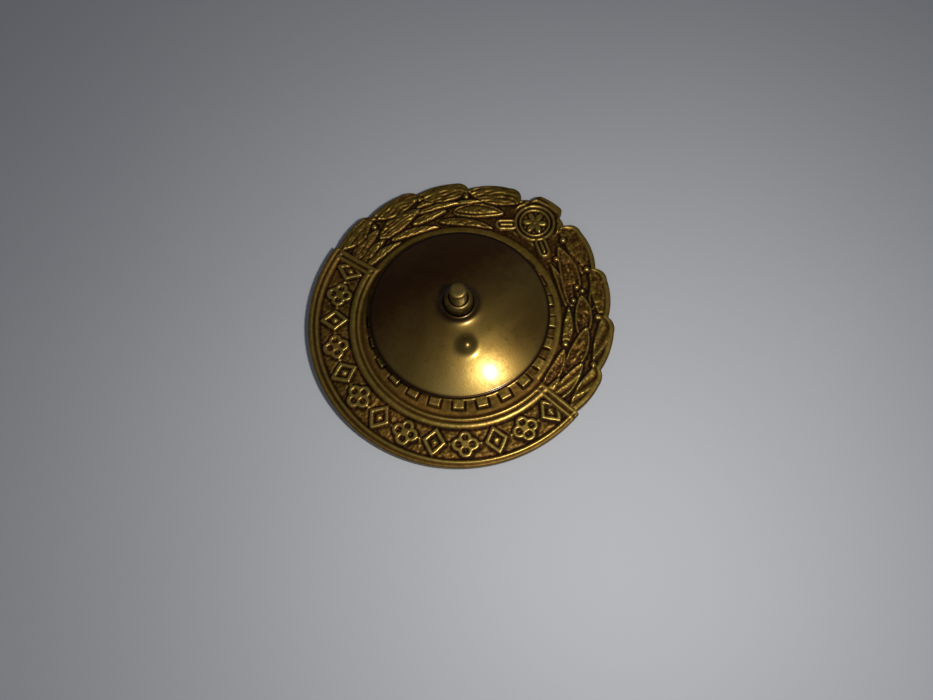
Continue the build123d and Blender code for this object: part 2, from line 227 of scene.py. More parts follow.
def band_relief(r, angle, x, y):
    """The band: bordered, with ornaments, and closed by a double ridge at each end."""
    end = np.radians(np.abs(angle) - BAND_ANGLE) * r
    r = struck_radius(r, angle)
    radii, depths = np.array(BAND_PROFILE).T
    h = np.interp(r, radii, depths)
    inside = flat_top(r - BAND_MIDDLE, 1.32, 0.12)
    h = h + ornament_relief(r, angle) * inside * smooth((end - 1.0) / 0.2)
    h = h + (0.024 * noise(x, y, 0.4, 11) + 0.03 * noise(x, y, 0.16, 12)) * inside
    frame_depth = np.interp(
        end,
        (-0.3, 0.0, 0.12, 0.3, 0.42, 0.52, 0.66, 0.84, 0.98, 1.1, 1.3),
        (-0.2, -0.03, 0.0, -0.02, -0.16, -0.16, -0.02, -0.01, -0.12, -0.24, -0.3),
    )
    outside = smooth((r - 10.0) / 0.12) * (1 - smooth((r - 14.35) / 0.15))
    return np.maximum(h, frame_depth * outside + -0.3 * (1 - outside))


# ---------------------------------------------------------------- the wreath's leaves


def leaf(base, tip, half, style="veined", lift=0.05, full=0.6):
    """A leaf from base to tip, each a radius and an angle, with its widest half width."""
    return dict(base=base, tip=tip, half=half, style=style, lift=lift, full=full)


def leaf_face(style, u, v, t, edge, length, px, py, seed):
    """Height of a leaf's own face, u from 0 at its base to 1 at its tip and v across it."""
    grain = noise(px, py, 0.17, seed) + 0.6 * noise(px, py, 0.34, seed + 1)
    warp = 0.16 * noise(px, py, 1.1, seed + 2)
    slope = 0.22 if seed % 2 else -0.22
    streak = noise(0.3 * u * length, v + warp + slope * u * length, 0.14, seed + 6)
    patchy = 0.5 + 0.5 * noise(px, py, 0.7, seed + 3)
    if style == "veined":
        lines = np.cos(2 * np.pi * (v + warp) / 0.3)
        face = 0.05 * (1 - t**2) + 0.036 * lines * (1 - t**6)
        return face + 0.04 * bump(edge - 0.12, 0.1) * patchy + 0.05 * streak + 0.02 * grain
    if style == "eye":
        face = 0.085 * bump(edge - 0.11, 0.09) * (0.4 + patchy) - 0.08 * bump(edge - 0.31, 0.1)
        return face + (0.07 + 0.04 * streak + 0.024 * grain) * smooth((edge - 0.32) / 0.16)
    if style == "sunk":
        face = 0.06 * bump(edge - 0.12, 0.08) * (0.2 + patchy)
        face = face - (0.035 + 0.06 * patchy) * smooth((edge - 0.16) / 0.14)
        inner = smooth((edge - 0.24) / 0.12)
        return face + (0.055 * streak + 0.022 * grain) * inner + 0.04 * bump(v + warp, 0.09)
    if style == "grainy":
        lines = np.cos(2 * np.pi * (v + 2 * warp) / 0.3)
        return 0.03 + 0.026 * lines + 0.05 * streak + 0.03 * grain
    if style == "twist":
        slant = u * length - 2.6 * v + 2 * warp
        return 0.03 + 0.036 * np.cos(2 * np.pi * slant / 0.85) + 0.04 * (1 - t) + 0.045 * streak
    # folded: a smooth hollow face with raised edges and one long diagonal crease
    crease = v / (edge + np.abs(v) + 0.02) + 1.5 * (u - 0.5)
    face = 0.08 * bump(edge - 0.12, 0.12) - 0.04 * smooth((edge - 0.25) / 0.2)
    return face + 0.1 * bump(crease, 0.28) + 0.008 * grain


def overlay(h, near, edge, face):
    """Lays a face over the near part of the relief h, where edge is above 0, in a dark crevice."""
    cover = smooth((edge + 0.03) / 0.1)
    under = h[near] - 0.06 * bump(edge + 0.1, 0.1) * (edge < 0.08)
    h[near] = np.clip(under * (1 - cover) + face * cover, LOWEST, 0.0)
    return cover


def lay_leaf(h, x, y, one, seed):
    """Lays one leaf over the relief h."""
    bx, by = polar(*one["base"])
    tx, ty = polar(*one["tip"])
    length = math.hypot(tx - bx, ty - by)
    ax, ay = (tx - bx) / length, (ty - by) / length
    u = ((x - bx) * ax + (y - by) * ay) / length
    v = (y - by) * ax - (x - bx) * ay
    near = (u > -0.1) & (u < 1.1) & (np.abs(v) < 3 * one["half"])
    u, v = u[near], v[near]
    # the leaf bows outwards, as the ring does between its base and its tip
    chord = math.radians(abs(one["base"][1] - one["tip"][1]))
    middle = (one["base"][0] + one["tip"][0]) / 2
    sign = 1.0 if one["base"][1] > one["tip"][1] else -1.0
    bow = middle * (1 - math.cos(chord / 2))
    v = v - sign * bow * 4 * u * (1 - u)
    inside_u = np.clip(u, 0.0, 1.0)
    shape = np.sin(np.pi * inside_u**0.85) ** one["full"]
    half = one["half"] * shape + 1e-4
    edge = half - np.abs(v)
    outside_u = np.maximum(np.maximum(-u, u - 1.0), 0.0) * length
    edge = np.where(outside_u > 0, -np.hypot(outside_u, np.abs(v)), edge)
    t = np.clip(np.abs(v) / half, 0.0, 1.0)
    face = leaf_face(one["style"], inside_u, v, t, edge, length, x[near], y[near], seed)
    overlay(h, near, edge, face + GROUND + one["lift"] * 2 * (inside_u - 0.4))


def berry(h, x, y, radius, angle, size):
    """A round berry with a dark ring round it."""
    bx, by = polar(radius, angle)
    d = np.hypot(x - bx, y - by)
    near = d < 3 * size
    d = d[near]
    face = -0.02 - 0.08 * (d / size) ** 2
    cover = 1 - smooth((d - size + 0.04) / 0.09)
    under = h[near] - 0.08 * bump(d - size - 0.1, 0.1)
    h[near] = np.clip(under * (1 - cover) + face * cover, LOWEST, 0.0)


# the left branch is mostly of long slim leaves, and the right one of broader leaves, many of them
# with raised outlines
LEFT_LEAVES = (
    leaf((10.9, 48.0), (10.45, 17.5), 0.46, "grainy", lift=0.02),
    leaf((11.9, 40.0), (12.5, 15.0), 0.84, "eye"),
    leaf((12.75, 44.0), (13.3, 26.0), 0.26), leaf((11.1, 76.0), (10.3, 48.5), 0.42, "twist"),
    leaf((11.5, 62.0), (12.1, 43.0), 0.46), leaf((12.6, 59.0), (12.9, 37.0), 0.42),
    leaf((13.2, 57.0), (14.4, 33.5), 0.42), leaf((12.0, 80.0), (12.9, 55.5), 0.9, full=0.75),
    leaf((11.1, 98.0), (10.3, 72.0), 0.42, "twist"), leaf((11.7, 98.0), (11.6, 78.0), 0.45, "grainy"),
    leaf((12.5, 98.0), (12.9, 77.0), 0.62, "grainy"),
)
RIGHT_LEAVES = (
    leaf((13.2, -33.0), (13.9, -14.0), 0.6, "grainy"), leaf((10.6, -47.5), (10.8, -21.0), 0.4, "sunk"),
    leaf((11.2, -48.0), (12.65, -16.0), 0.98, "sunk"), leaf((13.0, -51.0), (14.2, -35.0), 0.5, "sunk"),
    leaf((10.6, -72.0), (10.8, -48.5), 0.5, "grainy"), leaf((12.1, -63.5), (12.3, -43.0), 0.88, "sunk"),
    leaf((11.7, -83.5), (12.5, -59.0), 0.86, "sunk"), leaf((10.9, -98.0), (10.7, -72.0), 0.62, "sunk"),
    leaf((12.1, -100.0), (12.8, -76.0), 0.76, "folded"),
    leaf((11.3, -100.0), (11.5, -87.0), 0.34, "folded"),
)
BERRIES = (
    (13.48, 77.7, 0.29), (14.05, 54.2, 0.27), (13.76, 33.9, 0.3), (13.5, -14.8, 0.3),
    (11.6, -20.7, 0.26), (13.78, -31.7, 0.3), (12.1, -38.5, 0.27), (12.5, -41.0, 0.24),
    (11.4, -45.0, 0.26), (13.57, -54.0, 0.3), (10.7, -69.5, 0.28), (13.8, -75.0, 0.3),
)


LOBE_RIBS = (0.02, 0.024, 0.028, 0.036)  # height of the ribs, from the lowest lobe to the highest
# the inner radius of a lobe's leaf, and how far it dips: on the left branch, 1, and the right, -1
LOBE_INNER = {1: (14.15, 1.0), -1: (13.8, 0.5)}
LOBE_LINE = 0.62  # how far inside the outline the right branch's lobes have a raised line


def lobe_face(k, side, share, e, depth, px, py):
    """Height of an outer leaf's face, e inside the outline: ribbed on the left branch, and creased
    or rough on the right one."""
    t = np.clip(share, 0, 1)
    grain = noise(px, py, 0.3, 300 + k)
    fine = noise(px, py, 0.15, 320)
    run = 5.0 * share
    streak = noise(0.28 * run, e + 0.3 * run + 0.05 * fine, 0.15, 340 + k)
    if side > 0:
        warp = 0.12 * noise(px, py, 1.3, 310 + k + side)
        ribbed = LOBE_RIBS[k] * np.cos(2 * np.pi * (e + 2 * warp + 0.3 * t - 0.32) / 0.42)
        face = -0.07 + ribbed + 0.05 * bump(e - 0.75 + warp, 0.1) - 0.035 * e
        patchy = 0.5 + 0.5 * noise(px, py, 0.8, 330 + k)
        return face + 0.04 * bump(depth - 0.14, 0.1) * patchy + 0.014 * grain + 0.055 * streak
    if k < 2:
        crease = (e - 0.5) - 1.7 * (0.62 - t)
        swell = 0.05 * np.cos(2 * np.pi * (crease - 0.1) / 0.9)
        return -0.12 + 0.07 * bump(depth - 0.13, 0.12) + 0.07 * bump(crease, 0.15) + swell
    return GROUND + 0.04 * bump(depth - 0.13, 0.12) + 0.04 * streak + 0.03 * grain + 0.02 * fine


def lay_lobes(h, x, y, r, angle, edge_in):
    """The outer leaf of each lobe, which fills the lobe out to the badge's smooth rim."""
    for k, (start, end) in reversed(list(enumerate(zip(NOTCHES, NOTCHES[1:])))):
        for side in (1, -1):
            share = (start - angle * side) / (start - end)
            near = (share > -0.15) & (share < 1.1) & (r > 12.4)
            share, e = share[near], edge_in[near]
            at, dip = LOBE_INNER[side]
            inner = at - dip * np.sin(np.pi * np.clip(share, 0, 1)**0.9)
            depth = np.minimum(r[near] - inner, np.minimum(share + 0.05, 1.05 - share) * 4.0)
            cover = overlay(h, near, depth, lobe_face(k, side, share, e, depth, x[near], y[near]))
            if side < 0:
                line = 0.05 * bump(e - LOBE_LINE - 0.1, 0.07) * cover
                h[near] = np.clip(h[near] + line, LOWEST, 0.0)


def wreath_relief(x, y, r, angle, edge_in):
    """Both branches, from the emblem down to the band's ends."""
    h = -0.22 + 0.02 * noise(x, y, 0.22, 21) + 0.02 * noise(x, y, 0.5, 22)
    for n, one in enumerate(LEFT_LEAVES + RIGHT_LEAVES):
        lay_leaf(h, x, y, one, 100 + 3 * n)
    lay_lobes(h, x, y, r, angle, edge_in)
    for radius, angle_at, size in BERRIES:
        berry(h, x, y, radius, angle_at, size)
    return h


def stroke(x, y, points):
    """Distance to a chain of straight runs."""
    best = np.full(x.shape, 99.0)
    for (ax, ay), (bx, by) in zip(points, points[1:]):
        dx, dy = bx - ax, by - ay
        share = np.clip(((x - ax) * dx + (y - ay) * dy) / (dx * dx + dy * dy), 0.0, 1.0)
        best = np.minimum(best, np.hypot(x - ax - share * dx, y - ay - share * dy))
    return best


# x and y along one side of the crest: its arm, and the contour ridge from over the arm to the top
CREST_ARM = ((1.8, 11.45), (2.7, 10.8))
CREST_CONTOUR = (
    (3.3, 11.9), (2.75, 12.6), (2.6, 13.4), (2.1, 14.2), (2.0, 14.9), (1.3, 15.35), (0.0, 15.5),
)


def crest_relief(x, y):
    """The crest: contour ridges, a ringed rosette and two short arms, each in a thin dark line."""
    cx, cy = MEDALLION
    d = np.hypot(x - cx, y - cy)
    turn = np.degrees(np.arctan2(x - cx, y - cy))
    petal = (turn + 30) % 60 - 30
    along, across = d * np.cos(np.radians(petal)), d * np.sin(np.radians(petal))
    shape = 0.3 * (np.hypot((along - 0.74) / 0.45, across / 0.25) - 1.0)
    ridges = [np.abs(d - 1.98) - 0.1, np.abs(d - 1.5) - 0.06, shape, d - 0.2]
    for side in (-1, 1):
        arm = stroke(x, y, [(side * px, py) for px, py in CREST_ARM])
        arm = np.where(d > 1.9, arm, 9.0)
        contour = stroke(x, y, [(side * px, py) for px, py in CREST_CONTOUR])
        ridges += [np.abs(arm - 0.46) - 0.09, arm - 0.1, contour - 0.1]
    h = np.full(x.shape, -0.1) + 0.02 * noise(x, y, 0.3, 31)
    for ridge in ridges:
        h = h - 0.11 * bump(ridge - 0.15, 0.09)
    for ridge in ridges:
        h = np.maximum(h, -0.22 + 0.21 * (1 - smooth((ridge + 0.02) / 0.14)))
    return np.clip(h, LOWEST, 0.0)


def crest_zone(x, y):
    """Distance outside the crest's own ground: negative inside it."""
    cx, cy = MEDALLION
    disc = np.hypot(x - cx, y - cy) - 2.2
    (near_x, near_y), (far_x, far_y) = CREST_ARM
    arms = ((-far_x, far_y), (-near_x, near_y), (near_x, near_y), (far_x, far_y))
    top = np.maximum(np.abs(x) - 2.5, 12.8 - y)
    return np.minimum(np.minimum(disc, stroke(x, y, arms) - 0.66), top)


def back_relief(x, y, edge_in):
    """Depth under the back plane, for points at x and y, edge_in inside the outline."""
    r, angle = radius_and_angle(x, y)
    gear = gear_relief(r, angle, x, y)
    band = band_relief(r, angle, x, y)
    border = smooth((struck_radius(r, angle) - 9.6) / 0.1)
    h_band = gear * (1 - border) + band * border

    wreath = wreath_relief(x, y, r, angle, edge_in)
    pick = 1 - smooth(crest_zone(x, y) / 0.12)
    wreath = wreath * (1 - pick) + crest_relief(x, y) * pick
    # the plain rim outside the leaves: narrow on the left, broad on the right and the crest
    broad = smooth((4.0 - angle) / 6.0)
    width = 0.1 + 0.42 * broad
    rim = 1 - smooth((edge_in - width) / 0.14)
    plain = -0.05 + 0.03 * broad + 0.015 * noise(x, y, 0.6, 23)
    wreath = wreath * (1 - rim) + plain * rim
    wreath = wreath - 0.05 * broad * bump(edge_in - width - 0.16, 0.08)
    inner = smooth((r - 9.98) / 0.14)
    ground = -0.1 - 0.05 * bump(r - 10.02, 0.1) + 0.012 * noise(x, y, 0.8, 24)
    share = smooth((r - 9.25) / 0.3)
    inner_face = gear * (1 - share) + ground * share
    h_wreath = inner_face * (1 - inner) + wreath * inner
    in_band = smooth((np.radians(np.abs(angle) - BAND_ANGLE) * r + 0.16) / 0.12)
    h = h_wreath * (1 - in_band) + h_band * in_band
    h = blurred(h, SOFTNESS)
    leafy = smooth((r - 10.2) / 0.2) * smooth((edge_in - width) / 0.2)
    leafy = leafy * (1 - in_band) * (1 - 0.7 * pick)
    rough = 0.014 * noise(x, y, 0.13, 43) + 0.012 * noise(x, y, 0.21, 44)
    h = h + rough * (0.25 + 0.75 * leafy) + 0.007 * noise(x, y, 0.9, 41)
    return np.minimum(h, 0.0)


def blurred(field, rounds):
    """The field averaged with its neighbours round the ring and across the rings."""
    out = field.copy()
    for _ in range(rounds):
        out = (np.roll(out, 1, 1) + 2 * out + np.roll(out, -1, 1)) / 4
        inner = np.vstack([out[:1], out[:-1]])
        outer = np.vstack([out[1:], out[-1:]])
        out = (inner + 2 * out + outer) / 4
    return out


# ---------------------------------------------------------------- building meshes


class Shell:
    """A closed surface made of rings of points round the axis, joined one to the next."""

    def __init__(self):
        self.points = []
        self.faces = []
        self.values = []
        self.count = 0

    def ring(self, points, value):
        """Adds a ring of points with their relief values, and returns their numbers."""
        points = np.asarray(points, float).reshape(-1, 3)
        self.points.append(points)
        self.values.append(np.broadcast_to(value, (len(points),)).astype(float))
        self.count += len(points)
        return np.arange(self.count - len(points), self.count)

    def level(self, r, angles, z, value):
        """Adds a ring of one radius, or of a radius for each angle."""
        x, y = polar(r, angles)
        return self.ring(np.stack([x, y, np.broadcast_to(z, x.shape)], 1), value)

    def follow(self, last, now):
        """Joins a ring to the last one, if there is one, and returns it as the new last one."""
        if last is not None:
            self.join(last, now)
        return now

    def join(self, a, b):
        """Joins ring a to the next ring b. One may have a whole number of times the other's points."""
        if len(a) == len(b):
            self.faces += np.stack([a, b, np.roll(b, -1), np.roll(a, -1)], 1).tolist()
        elif len(a) < len(b):
            k = len(b) // len(a)
            for j in range(len(a)):
                many = [int(b[(j * k + i) % len(b)]) for i in range(k + 1)]
                self.faces.append([int(a[j]), *many, int(a[(j + 1) % len(a)])])
        else:
            k = len(a) // len(b)
            for j in range(len(b)):
                many = [int(a[(j * k + i) % len(a)]) for i in range(k, -1, -1)]
                self.faces.append([int(b[j]), int(b[(j + 1) % len(b)]), *many])

    def close(self, rows):
        """Joins each row to the next, and the last to the first, into a closed ring of metal."""
        for a, b in zip(rows, rows[1:] + rows[:1]):
            self.join(a, b)

    def cap(self, a, up):
        """Closes an end with one face, seen from above or from below."""
        self.faces.append([int(i) for i in (a if up else a[::-1])])

    def build(self, name, body, nodes, material, sharp=None):
        """Makes the mesh and puts it on its body and slot, in place of the CAD nodes."""
        mesh = bpy.data.meshes.new(name)
        points = np.concatenate(self.points) * MM
        mesh.from_pydata(points.tolist(), [], self.faces)
        mesh.update()
        mesh.shade_smooth()
        if sharp is not None:
            mesh.set_sharp_from_angle(angle=math.radians(sharp))
        relief = mesh.attributes.new("relief", "FLOAT", "POINT")
        relief.data.foreach_set("value", np.concatenate(self.values).astype(np.float32))
        mesh.materials.append(material)
        obj = bpy.data.objects.new(name, mesh)
        bpy.context.scene.collection.objects.link(obj)
        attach(obj, body)
        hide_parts(*nodes)


def cavity(field):
    """0 in the recesses and 1 on the ridges of a relief."""
    fine = field - blurred(field, 14)
    broad = field - blurred(field, 60)
    return np.clip(0.5 + 3.6 * fine + 0.5 * broad + 1.3 * (field + 0.11), 0.0, 1.0)


# ---------------------------------------------------------------- materials


def new_material(name):
    material = bpy.data.materials.new(name)
    material.use_nodes = True
    tree = material.node_tree
    shader = tree.nodes["Principled BSDF"]
    return material, tree, shader


def add_node(tree, kind, **settings):
    node = tree.nodes.new(kind)
    for key, value in settings.items():
        if key.startswith("in_"):
            node.inputs[key[3:].replace("_", " ")].default_value = value
        else:
            setattr(node, key, value)
    return node


def grey(level):
    return (level, level, level)


def ramp(tree, source, stops):
    """Colours the source, from 0 to 1, by a list of places and colours."""
    node = tree.nodes.new("ShaderNodeValToRGB")
    elements = node.color_ramp.elements
    while len(elements) < len(stops):
        elements.new(0.5)
    for element, (place, colour) in zip(elements, stops):
        element.position = place
        element.color = (*colour, 1.0)
    tree.links.new(source, node.inputs["Fac"])
    return node.outputs["Color"]


def mix(tree, factor, a, b, blend="MIX"):
    node = tree.nodes.new("ShaderNodeMix")
    node.data_type = "RGBA"
    node.blend_type = blend
    for socket, value in ((node.inputs["Factor"], factor), (node.inputs[6], a), (node.inputs[7], b)):
        if hasattr(value, "is_output"):
            tree.links.new(value, socket)
        else:
            socket.default_value = value
    return node.outputs[2]


def math_node(tree, operation, *values):
    node = tree.nodes.new("ShaderNodeMath")
    node.operation = operation
    for socket, value in zip(node.inputs, values):
        if hasattr(value, "is_output"):
            tree.links.new(value, socket)
        else:
            socket.default_value = value
    return node.outputs[0]


def texture(tree, scale, detail=4.0, rough=0.55, distort=0.0):
    """Noise in the piece's own coordinates. Scale is in cells a metre."""
    place = tree.nodes.new("ShaderNodeTexCoord")
    node = add_node(tree, "ShaderNodeTexNoise", in_Scale=scale, in_Detail=detail, in_Roughness=rough)
    node.inputs["Distortion"].default_value = distort
    tree.links.new(place.outputs["Object"], node.inputs["Vector"])
    return node.outputs["Fac"]


def bumped(tree, shader, height, strength, distance):
    node = add_node(tree, "ShaderNodeBump", in_Strength=strength, in_Distance=distance)
    tree.links.new(height, node.inputs["Height"])
    tree.links.new(node.outputs["Normal"], shader.inputs["Normal"])


def relief_value(tree):
    node = tree.nodes.new("ShaderNodeAttribute")
    node.attribute_name = "relief"
    return node.outputs["Fac"]


def struck_brass():
    """Brown patina in the recesses, golden brown flats and ridges worn bright."""
    material, tree, shader = new_material("struck_brass")
    relief = relief_value(tree)
    patch = texture(tree, 300.0, 5.0, 0.62)
    speck = texture(tree, 2600.0, 3.0, 0.6)
    worn = math_node(tree, "MULTIPLY_ADD", patch, 0.36, -0.18)
    worn = math_node(tree, "ADD", relief, worn)
    colour = ramp(
        tree, worn,
        ((0.14, (0.022, 0.007, 0.002)), (0.36, (0.105, 0.045, 0.008)), (0.52, (0.235, 0.142, 0.028)),
         (0.68, (0.31, 0.205, 0.046)), (0.95, (0.5, 0.35, 0.105))),
    )
    hue = ramp(tree, patch, ((0.36, (0.84, 0.97, 0.66)), (0.62, (1.0, 0.87, 0.66))))
    colour = mix(tree, 0.75, colour, hue, "MULTIPLY")
    dirt = ramp(tree, speck, ((0.3, (0.5, 0.45, 0.38)), (0.56, (1.0, 1.0, 1.0))))
    colour = mix(tree, 0.6, colour, dirt, "MULTIPLY")
    tree.links.new(colour, shader.inputs["Base Color"])
    rough = ramp(tree, worn, ((0.25, grey(0.6)), (0.55, grey(0.46)), (0.9, grey(0.33))))
    tree.links.new(rough, shader.inputs["Roughness"])
    shader.inputs["Metallic"].default_value = 0.85
    bumped(tree, shader, speck, 0.4, 0.00003)
    return material


def toward_lit_side(tree, wobble):
    """0 to 1 across the dome, from the side away from the key light to the side that faces it: a
    painted shade.
    """
    place = tree.nodes.new("ShaderNodeTexCoord")
    turned = add_node(tree, "ShaderNodeVectorMath", operation="DOT_PRODUCT")
    lit_x, lit_y = polar(1.0, LIT_SIDE)
    turned.inputs[1].default_value = (lit_x, lit_y, 0.0)
    tree.links.new(place.outputs["Object"], turned.inputs[0])
    share = math_node(tree, "MULTIPLY_ADD", turned.outputs["Value"], 0.5 / (NUT_RADIUS * MM), 0.42)
    waver = math_node(tree, "MULTIPLY", wobble, 0.16)
    return math_node(tree, "ADD", share, waver)


def nut_brass():
    """Smooth pressed brass under an uneven brown tarnish, with painted shade on its side away from the
    key light and round its neck and rim.
    """
    material, tree, shader = new_material("nut_brass")
    relief = relief_value(tree)
    broad = texture(tree, 90.0, 4.0, 0.6, 0.4)
    blot = texture(tree, 1500.0, 6.0, 0.7, 0.2)
    fine = texture(tree, 5200.0, 2.0, 0.5)
    colour = ramp(
        tree, broad,
        ((0.32, (0.165, 0.094, 0.016)), (0.5, (0.255, 0.162, 0.034)), (0.68, (0.31, 0.212, 0.048))),
    )
    spots = ramp(tree, blot, ((0.34, (0.6, 0.52, 0.4)), (0.56, (1.0, 1.0, 1.0))))
    colour = mix(tree, 0.55, colour, spots, "MULTIPLY")
    # painted shade: the dome is darkened on the side away from the key light
    side_shade = ramp(tree, toward_lit_side(tree, blot), ((0.3, (0.42, 0.25, 0.12)), (0.6, (1.0, 1.0, 1.0))))
    colour = mix(tree, 1.0, colour, side_shade, "MULTIPLY")
    # painted shade: low relief values darken the neck, its bore and the rolled rim
    painted_shade = ramp(tree, relief, ((0.12, (0.16, 0.1, 0.07)), (0.48, (1.0, 1.0, 1.0))))
    colour = mix(tree, 1.0, colour, painted_shade, "MULTIPLY")
    tree.links.new(colour, shader.inputs["Base Color"])
    rough = ramp(tree, blot, ((0.3, grey(0.42)), (0.7, grey(0.275))))
    tree.links.new(rough, shader.inputs["Roughness"])
    shader.inputs["Metallic"].default_value = 0.9
    shader.inputs["Coat Weight"].default_value = 0.45
    shader.inputs["Coat Roughness"].default_value = 0.16
    bumped(tree, shader, fine, 0.3, 0.000012)
    return material


def turned_brass():
    """Turned brass, dulled, with faint tool rings."""
    material, tree, shader = new_material("turned_brass")
    blot = texture(tree, 1400.0, 5.0, 0.6)
    fine = texture(tree, 6000.0, 2.0, 0.5)
    colour = ramp(
        tree, blot,
        ((0.3, (0.16, 0.1, 0.03)), (0.55, (0.36, 0.25, 0.07)), (0.8, (0.5, 0.37, 0.13))),
    )
    # painted shade: low relief values darken the thread's groove, the post's corners, the hub's lower
    # side and its bore
    painted_shade = ((0.1, (0.12, 0.09, 0.07)), (0.5, grey(0.6)), (0.75, grey(1.0)))
    shade = ramp(tree, relief_value(tree), painted_shade)
    colour = mix(tree, 1.0, colour, shade, "MULTIPLY")
    tree.links.new(colour, shader.inputs["Base Color"])
    rough = ramp(tree, blot, ((0.3, grey(0.5)), (0.7, grey(0.3))))
    tree.links.new(rough, shader.inputs["Roughness"])
    shader.inputs["Metallic"].default_value = 0.95
    bumped(tree, shader, fine, 0.2, 0.00001)
    return material


def solder_metal():
    """Dull grey solder with a little flux stain."""
    material, tree, shader = new_material("solder")
    blot = texture(tree, 1200.0, 5.0, 0.65)
    colour = ramp(
        tree, blot,
        ((0.3, (0.12, 0.09, 0.05)), (0.5, (0.3, 0.28, 0.24)), (0.75, (0.42, 0.41, 0.38))),
    )
    tree.links.new(colour, shader.inputs["Base Color"])
    rough = ramp(tree, blot, ((0.3, grey(0.65)), (0.7, grey(0.4))))
    tree.links.new(rough, shader.inputs["Roughness"])
    shader.inputs["Metallic"].default_value = 0.85
    bumped(tree, shader, blot, 0.3, 0.00003)
    return material


def enamel(name, deep, bright):
    """Glassy vitreous enamel with fine pits and a little depth of colour."""
    material, tree, shader = new_material(name)
    cloud = texture(tree, 420.0, 4.0, 0.55)
    pits = texture(tree, 4200.0, 2.0, 0.5)
    colour = ramp(tree, cloud, ((0.3, deep), (0.7, bright)))
    specks = ramp(tree, pits, ((0.24, grey(0.25)), (0.32, grey(1.0))))
    colour = mix(tree, 0.8, colour, specks, "MULTIPLY")
    tree.links.new(colour, shader.inputs["Base Color"])
    rough = ramp(tree, pits, ((0.25, grey(0.4)), (0.4, grey(0.09))))
    tree.links.new(rough, shader.inputs["Roughness"])
    shader.inputs["Coat Weight"].default_value = 0.6
    shader.inputs["Coat Roughness"].default_value = 0.04
    bumped(tree, shader, cloud, 0.12, 0.00004)
    return material


STRUCK = struck_brass()
PRESSED = nut_brass()
TURNED = turned_brass()
SOLDER = solder_metal()
BLUE = enamel("centre_enamel", (0.005, 0.018, 0.085), (0.012, 0.045, 0.17))
RED = enamel("band_enamel", (0.12, 0.004, 0.003), (0.3, 0.012, 0.008))

for node_name, paint in (("centre_enamel", BLUE), ("medallion_enamel", BLUE), ("band_enamel", RED)):
    mesh = NODES[node_name].data
    mesh.materials.clear()
    mesh.materials.append(paint)


# ---------------------------------------------------------------- the badge's body

COLUMNS = 1260
MIDDLE_THIN = 6  # the back's middle has a sixth of the columns, and the front has half
FRONT_THIN = 2
RELIEF_FROM = 8.0  # the fine rings of both faces begin at this radius
RING_STEP = 0.07
FRONT_RINGS = 120
CENTRE_RINGS = 75
MIDDLE_RINGS = (0.6, 1.6, 2.6, 3.6, 4.6, 5.4, 6.2, 6.8, 7.3, 7.6)
STRETCH_FROM = 12.0  # rings outside this radius are drawn out to the outline
SKIN = 0.004  # the mesh stays this far inside the CAD outline
EDGE = 0.24  # rounding of the badge's trimmed edge
# rings round the edge: how far out, in parts of EDGE, how far down and the relief value, which paints
# shade on the rounded edge and the wall, darker than the back's flats;
# down is in parts of EDGE for the rounding, and in parts of the thickness for the wall below it
ROUND_RINGS = ((0.3, 0.07, 0.5), (0.55, 0.27, 0.46), (0.75, 0.6, 0.42), (0.86, 1.0, 0.44))
WALL_RINGS = ((0.93, 0.5, 0.47), (1.0, 0.8, 0.48), (0.8, 0.95, 0.52), (0.4, 1.0, 0.6))

BOSS = 9.4  # radius of the front's raised middle between its teeth, and at their tips
BOSS_TIP = 9.95
FRONT_ORNAMENT = 12.6  # radius of the middle of the front's ornaments
CELL_FLOOR = 0.7  # height of the floors of the band's and the medallion's enamel cells


def front_band(r, angle):
    """1 in the floor of the front's band, 0 on its borders, ornaments and beads."""
    cell = smooth((r - 11.3) / 0.08) * (1 - smooth((r - 13.82) / 0.08))
    cell = cell * (np.abs(angle) > BAND_ANGLE + 2.0)
    turn, odd, from_one, from_gap = ornament_places(angle)
    u, v = r - FRONT_ORNAMENT, from_one * FRONT_ORNAMENT
    shape = np.where(odd, quatrefoil(u, v, 0.5, 0.45), lozenge(u, v, 1.05, 0.85))
    beyond = (turn < 0) | (turn > ORNAMENT_RUN)
    bead = np.hypot(u, from_gap * FRONT_ORNAMENT) - 0.3 + 9.0 * beyond
    island = 1 - smooth(np.minimum(shape, bead) / 0.07)
    return cell * (1 - island)


def front_relief(x, y, edge_in):
    """Height of the front face over the rest plane: the flat is low and the cells are high."""
    r, angle = radius_and_angle(x, y)
    tooth = flat_top(across_tooth(r, angle), 0.5, 0.1)
    boss_edge = BOSS + (BOSS_TIP - BOSS) * tooth
    boss = 1 - smooth((r - boss_edge) / 0.08)
    z = FRONT * (1 - boss) + (CELL_FLOOR - FRONT) * front_band(r, angle)
    wreath = (np.abs(angle) < BAND_ANGLE - 1.5) & (r > 10.6)
    leaves = wreath_relief(x, y, r, angle, edge_in)
    keep = smooth((edge_in - 0.35) / 0.1) * smooth((r - 10.55) / 0.1)
    cx, cy = MEDALLION
    d = np.hypot(x - cx, y - cy)
    away = smooth((d - 2.6) / 0.15)
    z = z - 0.9 * np.clip(leaves, -0.24, 0) * wreath * keep * away
    ring = smooth((d - 0.58) / 0.05) * (1 - smooth((d - 2.0) / 0.05))
    return z + (CELL_FLOOR - FRONT) * ring + 0.06 * bump(d - 2.3, 0.07)


